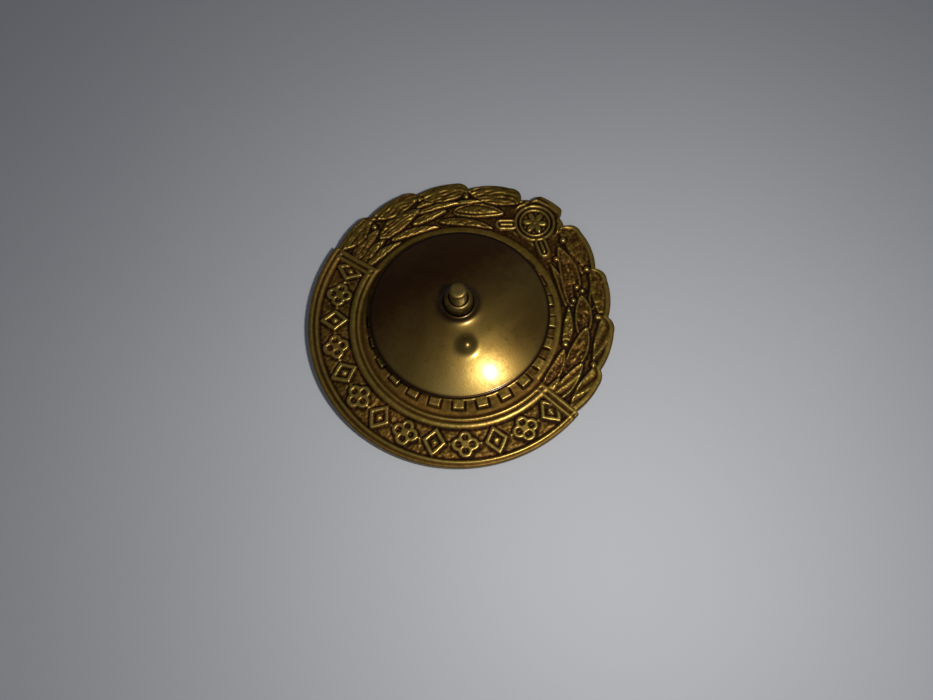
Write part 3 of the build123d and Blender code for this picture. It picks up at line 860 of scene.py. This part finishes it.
def front_rosette(r, angles):
    """Height of the front's middle: a low six-petalled rosette on the floor of its enamel cell."""
    turn = angles % 60 - 30
    along, across = r * np.cos(np.radians(turn)), r * np.sin(np.radians(turn))
    petal = np.hypot((along - 3.6) / 2.3, across / 1.15) - 1.0
    eye = (r - 2.3) / 1.5
    flat = 1 - smooth(np.minimum(petal, eye) / 0.07)
    cut = 0.1 * bump(across, 0.12) * smooth((along - 2.7) / 0.3) * (1 - smooth((along - 5.2) / 0.3))
    ringed = 0.06 * bump(r - 1.9, 0.1) + 0.05 * bump(r - 1.0, 0.12)
    return FRONT * (1 - flat) + flat * (cut + ringed)


def stretched(radii, edge):
    """Radii as a grid, a row for each and a column for each angle, the outer rows drawn out to the
    edge, and how far out each row is, from 0 to 1."""
    share = np.clip((radii - STRETCH_FROM) / (RIM - STRETCH_FROM), 0, 1)[:, None]
    return radii[:, None] + share * (edge - RIM)[None, :], share


def add_grid(shell, last, x, y, z, value):
    for row in zip(x, y, z, value):
        last = shell.follow(last, shell.ring(np.stack(row[:3], 1), row[3]))
    return last


def add_middle(shell, angles):
    """The middle of the back, under the nut: a plain struck ground."""
    last = None
    for r in MIDDLE_RINGS:
        x, y = polar(r, angles)
        ripple = 0.012 * noise(x, y, 0.9, 61) * smooth((r - 2.8) / 0.8)
        now = shell.ring(np.stack([x, y, CENTRE_GROUND + ripple], 1), 0.42)
        if last is None:
            shell.cap(now, True)
        last = shell.follow(last, now)
    return last


def add_back(shell, last, angles, edge):
    """The struck back, out to the start of the rounded edge. Returns the outermost ring's heights."""
    rings = int(round((RIM - RELIEF_FROM) / RING_STEP))
    radius, share = stretched(np.linspace(RELIEF_FROM, RIM, rings + 1), edge)
    radius = radius - EDGE * share
    x, y = polar(radius, angles[None, :])
    h = back_relief(x, y, edge[None, :] - radius)
    return add_grid(shell, last, x, y, BACK + h, cavity(h)), h[-1]


def add_edge_ring(shell, last, angles, radius, z, down, tone):
    x, y = polar(radius, angles)
    rough = 0.01 * noise(angles * 0.26, np.full_like(angles, down * 3), 0.5, 71)
    return shell.follow(last, shell.ring(np.stack([x, y, z], 1), tone + rough))


def add_wall(shell, last, angles, edge, top):
    """The rounded edge and the wall down to the front."""
    for out, down, tone in ROUND_RINGS:
        z = np.minimum(BACK - down * EDGE, BACK + top)
        last = add_edge_ring(shell, last, angles, edge - EDGE + out * EDGE, z, down * EDGE, tone)
    for out, down, tone in WALL_RINGS:
        z = np.full_like(angles, FRONT + (BACK - FRONT) * (1 - down))
        last = add_edge_ring(shell, last, angles, edge - EDGE + out * EDGE, z, down, tone)
    return last


def add_front(shell, last, angles, edge):
    """The front, worked inwards: its struck ring and then its rosette."""
    radius, _ = stretched(np.linspace(RIM - 0.2, RELIEF_FROM, FRONT_RINGS), edge)
    x, y = polar(radius, angles[None, :])
    z = front_relief(x, y, edge[None, :] - radius)
    value = cavity(np.maximum(FRONT * (radius > BOSS_TIP) - z, -0.25))
    last = add_grid(shell, last, x, y, z, value)
    for r in np.linspace(RELIEF_FROM - 0.1, 0.5, CENTRE_RINGS):
        z = front_rosette(r, angles)
        last = shell.follow(last, shell.level(r, angles, z, np.clip(0.75 - z, 0.2, 0.8)))
    shell.cap(last, False)


def make_body():
    """The struck badge, as one closed skin: back, edge and front."""
    angles = even_angles(COLUMNS)
    edge = np.array([outline_radius(a) for a in angles]) - SKIN
    shell = Shell()
    last = add_middle(shell, angles[::MIDDLE_THIN])
    last, top = add_back(shell, last, angles, edge)
    last = add_wall(shell, last, angles, edge, top)
    add_front(shell, last, angles[::FRONT_THIN], edge[::FRONT_THIN])
    shell.build("struck_body", "badge", ["badge_body"], STRUCK)


# ---------------------------------------------------------------- the post and its solder

POST_TIP = node_box("screw_post")[1][2]
POST_RADIUS = 0.8
THREAD_PITCH = 0.35
THREAD_DEPTH = 0.17
THREAD_END = 2.75  # height of the thread's lower end, over the shank
TIP_ROUND = 0.26  # height of the tip's rounding
FLANGE_TOP = CENTRE_GROUND + 0.3
TURN_COLUMNS = 96


def tip_rings(shell, angles):
    """The rounded, slightly dented tip of the post."""
    last = None
    for share in np.linspace(0.06, 1.0, 14):
        turn = share * math.pi / 2
        r = POST_RADIUS * math.sin(turn) ** 0.55
        z = POST_TIP - TIP_ROUND * (1 - math.cos(turn) ** 0.9) ** 1.4
        x, y = polar(r, angles)
        dent = 0.012 * noise(x, y, 0.35, 81) * (1 - share)
        z = np.minimum(z + dent, POST_TIP)
        # painted shade: the tip is lightest on top and darker down its rounding
        now = shell.ring(np.stack([x, y, z], 1), 0.8 - 0.15 * share)
        if last is None:
            shell.cap(now, True)
        last = shell.follow(last, now)
    return last


def thread_rings(shell, last, angles):
    """The thread's helix, faded out at both of its ends."""
    top = POST_TIP - TIP_ROUND
    for z in np.arange(top - 0.02, THREAD_END, -0.025):
        phase = (z / THREAD_PITCH - angles / 360.0) % 1.0
        tooth = np.abs(phase - 0.5) * 2
        cut = smooth((tooth - 0.2) / 0.7)
        fade = min(1.0, (top - z) / 0.35) * min(1.0, (z - THREAD_END) / 0.2)
        r = POST_RADIUS - THREAD_DEPTH * cut * max(fade, 0.0)
        # painted shade in the thread's groove
        last = shell.follow(last, shell.level(r, angles, z, 0.62 - 0.45 * cut * fade))
    return last


def make_post():
    """The stud, from its rounded tip down its thread and shank to its flange."""
    shell = Shell()
    angles = even_angles(TURN_COLUMNS)
    last = thread_rings(shell, tip_rings(shell, angles), angles)
    # radius, height and relief value; the values paint shade down the shank into its corner with the
    # flange and down the flange's side
    profile = (
        (0.8, 2.72, 0.6), (0.98, 2.62, 0.6), (1.0, 2.58, 0.6), (1.0, 2.2, 0.5),
        (1.0, FLANGE_TOP + 0.1, 0.45), (1.03, FLANGE_TOP + 0.03, 0.4), (1.1, FLANGE_TOP, 0.4),
        (1.93, FLANGE_TOP, 0.6), (1.98, FLANGE_TOP - 0.02, 0.65), (2.0, FLANGE_TOP - 0.06, 0.6),
        (2.0, CENTRE_GROUND, 0.4),
    )
    for r, z, value in profile:
        last = shell.follow(last, shell.level(r, angles, z, value))
    shell.cap(last, False)
    shell.build("threaded_post", "badge", ["screw_post"], TURNED, 40)


def make_solder():
    """The uneven ring of solder that has crept out from under the flange."""
    shell = Shell()
    columns = 192
    angles = even_angles(columns)
    ripple = noise(np.cos(np.radians(angles)) * 3, np.sin(np.radians(angles)) * 3, 1.0, 91)
    inner = 2.01
    foot = 2.5 + 0.17 * ripple
    top = CENTRE_GROUND + 0.24
    rows = []
    for share in np.linspace(0, 1, 10):
        r = inner + (foot - inner) * share
        z = CENTRE_GROUND + 0.015 + (top - CENTRE_GROUND - 0.015) * (1 - share) ** 1.7
        z = z + 0.012 * noise(angles * 0.05, np.full(columns, share * 2), 0.5, 92) * (1 - share)
        rows.append(shell.level(r, angles, z, 0.5))
    rows.append(shell.level(foot, angles, CENTRE_GROUND + 0.001, 0.3))
    rows.append(shell.level(inner, angles, CENTRE_GROUND + 0.001, 0.3))
    shell.close(rows)
    shell.build("solder_fillet", "badge", ["post_solder"], SOLDER)


# ---------------------------------------------------------------- the nut

NUT_RIM = 2.4  # heights of the dome's rim and of its top, were it whole
NUT_APEX = 4.3
SHEET = 0.42  # thickness of the sheet
NECK = 1.72  # radius at which the sheet has turned up into the neck round the hub
NECK_TOP = node_box("nut_dome")[1][2]
PIMPLE = (4.15, -133.0)  # radius and angle of the small bulge on the dome
PIMPLE_RADIUS = 1.1
PIMPLE_HEIGHT = 0.55
DOME_RISE = NUT_APEX - NUT_RIM
DOME_CURVE = (NUT_RADIUS**2 + DOME_RISE**2) / (2 * DOME_RISE)


def dome_height(r, depth=0.0):
    """Height of the plain dome at this radius, or of a surface this deep in it."""
    return NUT_APEX - DOME_CURVE + np.sqrt((DOME_CURVE - depth) ** 2 - r**2)


def dome_face(x, y):
    """Height of the dome's outer face, with its flare and pimple and a little waviness."""
    r = np.hypot(x, y)
    z = dome_height(r)
    z = z + (NECK_TOP - 0.12 - dome_height(NECK)) * np.exp(-np.clip(r - NECK, 0, None) / 0.26)
    px, py = polar(*PIMPLE)
    d = np.hypot(x - px, y - py)
    z = z + PIMPLE_HEIGHT * np.exp(-((d / (0.62 * PIMPLE_RADIUS)) ** 2.3))
    wave = 0.012 * noise(x, y, 3.0, 101) + 0.003 * noise(x, y, 1.0, 102)
    return z + wave * smooth((r - 2.6) / 1.5) * (1 - smooth((r - 8.2) / 0.5))


def make_dome():
    """The nut's pressed sheet: up its neck, over the dome, round the rolled rim and back inside."""
    shell = Shell()
    angles = even_angles(360)
    rows = []

    def row(r, z, value):
        rows.append(shell.level(r, angles, z, value))

    bore = 1.45
    # the relief values paint shade: darkest down the neck's bore, lighter over its top
    row(bore, dome_height(bore, SHEET) + 0.02, 0.1)
    row(bore, NECK_TOP - 0.06, 0.15)
    row(bore + 0.04, NECK_TOP - 0.02, 0.2)
    row(1.54, NECK_TOP, 0.25)
    row(1.6, NECK_TOP - 0.015, 0.25)
    row(1.67, NECK_TOP - 0.06, 0.2)
    for r in np.concatenate([np.arange(NECK, 3.2, 0.05), np.arange(3.2, 8.6, 0.08)]):
        # painted shade, deepest where the dome turns up into the neck and over the rolled rim
        painted_shade = 0.5 - 0.34 * math.exp(-(((r - 1.7) / 0.45) ** 2)) - 0.36 * smooth((r - 8.35) / 0.3)
        row(r, dome_face(*polar(r, angles)), painted_shade)
    # painted shade round the rolled rim
    for turn in np.radians(np.arange(24.0, 181.0, 12.0)):
        row(NUT_RADIUS - 0.3 + 0.32 * math.sin(turn), 2.28 + 0.26 * math.cos(turn), 0.12)
    # a little painted shade under the dome
    for r in np.linspace(8.3, 2.2, 40):
        row(r, dome_height(r, SHEET), 0.4)
    row(1.6, dome_height(1.6, SHEET), 0.4)
    shell.close(rows)
    shell.build("nut_shell", "nut_disc", ["nut_dome"], PRESSED, 50)


def make_hub():
    """The nut's hub: a turned bush, its top rim rounded and its bore chamfered."""
    shell = Shell()
    angles = even_angles(144)
    top = node_box("nut_hub")[1][2]
    bore = 0.86
    # radius, height and relief value; the values paint shade down the hub's side towards the neck and
    # in its bore
    profile = (
        (0.88, top - 0.1, 0.3), (0.95, top - 0.03, 0.6), (1.02, top, 0.6), (1.1, top - 0.02, 0.55),
        (1.19, top - 0.08, 0.5), (1.27, top - 0.19, 0.5), (1.33, top - 0.34, 0.45),
        (1.37, top - 0.52, 0.42), (1.39, top - 0.75, 0.3), (1.4, top - 1.0, 0.2),
        (1.4, 3.75, 0.2), (1.45, 3.68, 0.4), (2.14, 3.68, 0.5), (2.2, 3.62, 0.5),
        (2.2, 3.06, 0.5), (2.14, 3.0, 0.5), (1.12, 3.0, 0.4), (1.08, 3.06, 0.35),
        (1.08, 3.86, 0.3), (bore, 3.93, 0.3),
    )
    rows = [shell.level(r, angles, z, value) for r, z, value in profile]
    for z in np.arange(4.0, top - 0.12, 0.0875):
        rows.append(shell.level(bore, angles, z, 0.3))
    shell.close(rows)
    shell.build("nut_bush", "nut_carrier", ["nut_hub"], TURNED, 35)


make_body()
make_post()
make_solder()
make_dome()
make_hub()


# ---------------------------------------------------------------- floor, light and camera


FLOOR_HALF = 3.0  # metres
FLOOR_HEIGHT = -0.00001  # metres: just under the badge


def make_floor():
    """A plain pale floor under the badge, far larger than any view of it."""
    mesh = bpy.data.meshes.new("floor")
    corners = [(x * FLOOR_HALF, y * FLOOR_HALF) for x, y in ((-1, -1), (1, -1), (1, 1), (-1, 1))]
    mesh.from_pydata([(x, y, FLOOR_HEIGHT) for x, y in corners], [], [(0, 1, 2, 3)])
    obj = bpy.data.objects.new("floor", mesh)
    bpy.context.scene.collection.objects.link(obj)
    material, tree, shader = new_material("pale_floor")
    cloud = texture(tree, 9.0, 3.0)
    colour = ramp(tree, cloud, ((0.3, (0.5, 0.52, 0.57)), (0.7, (0.56, 0.58, 0.62))))
    tree.links.new(colour, shader.inputs["Base Color"])
    shader.inputs["Roughness"].default_value = 0.6
    mesh.materials.append(material)


CAMERA_TILT = 20.23
CAMERA_LEAN = 0.96
CAMERA_TURN = 36.5
CAMERA_SHIFT = Vector((-0.68, 3.36, -70.6))  # the badge's back plane, as the camera sees it
LENS = 27.7
LIGHT_AT = Vector((21.0, 2.0, 0.0))  # the flash, beside the camera


def make_camera():
    turn = Matrix.Rotation(-math.radians(CAMERA_TURN), 4, "Z")
    lean = Matrix.Rotation(-math.radians(CAMERA_LEAN), 4, "Y")
    tilt = Matrix.Rotation(-math.radians(CAMERA_TILT), 4, "X")
    to_camera = Matrix.Translation(CAMERA_SHIFT * MM) @ tilt @ lean @ turn
    to_camera = to_camera @ Matrix.Translation((0, 0, -BACK * MM))
    data = bpy.data.cameras.new("camera")
    data.lens = LENS
    data.clip_start = 0.005
    data.clip_end = 20.0
    camera = bpy.data.objects.new("camera", data)
    camera.matrix_world = to_camera.inverted()
    bpy.context.scene.collection.objects.link(camera)
    bpy.context.scene.camera = camera
    return camera


def area_light(name, place, target, size, power, colour):
    """A round light, size millimetres across, that shines at the target. Places are in metres."""
    data = bpy.data.lights.new(name, "AREA")
    data.shape = "DISK"
    data.size = size * MM
    data.energy = power
    data.color = colour
    obj = bpy.data.objects.new(name, data)
    obj.location = place
    obj.rotation_mode = "QUATERNION"
    obj.rotation_quaternion = (target - place).to_track_quat("-Z", "Y")
    bpy.context.scene.collection.objects.link(obj)


make_floor()
camera = make_camera()
look_at = Vector((0, 0, BACK * MM))
area_light("key", camera.matrix_world @ (LIGHT_AT * MM), look_at, 8.0, 0.034, (1.0, 0.97, 0.92))
area_light("soft", Vector((0.10, -0.12, 0.22)), look_at, 180.0, 0.035, (0.92, 0.95, 1.0))

world = bpy.data.worlds.new("studio")
world.use_nodes = True
world.node_tree.nodes["Background"].inputs["Color"].default_value = (0.75, 0.8, 0.9, 1.0)
world.node_tree.nodes["Background"].inputs["Strength"].default_value = 0.09
bpy.context.scene.world = world
bpy.context.scene.view_settings.view_transform = "Standard"
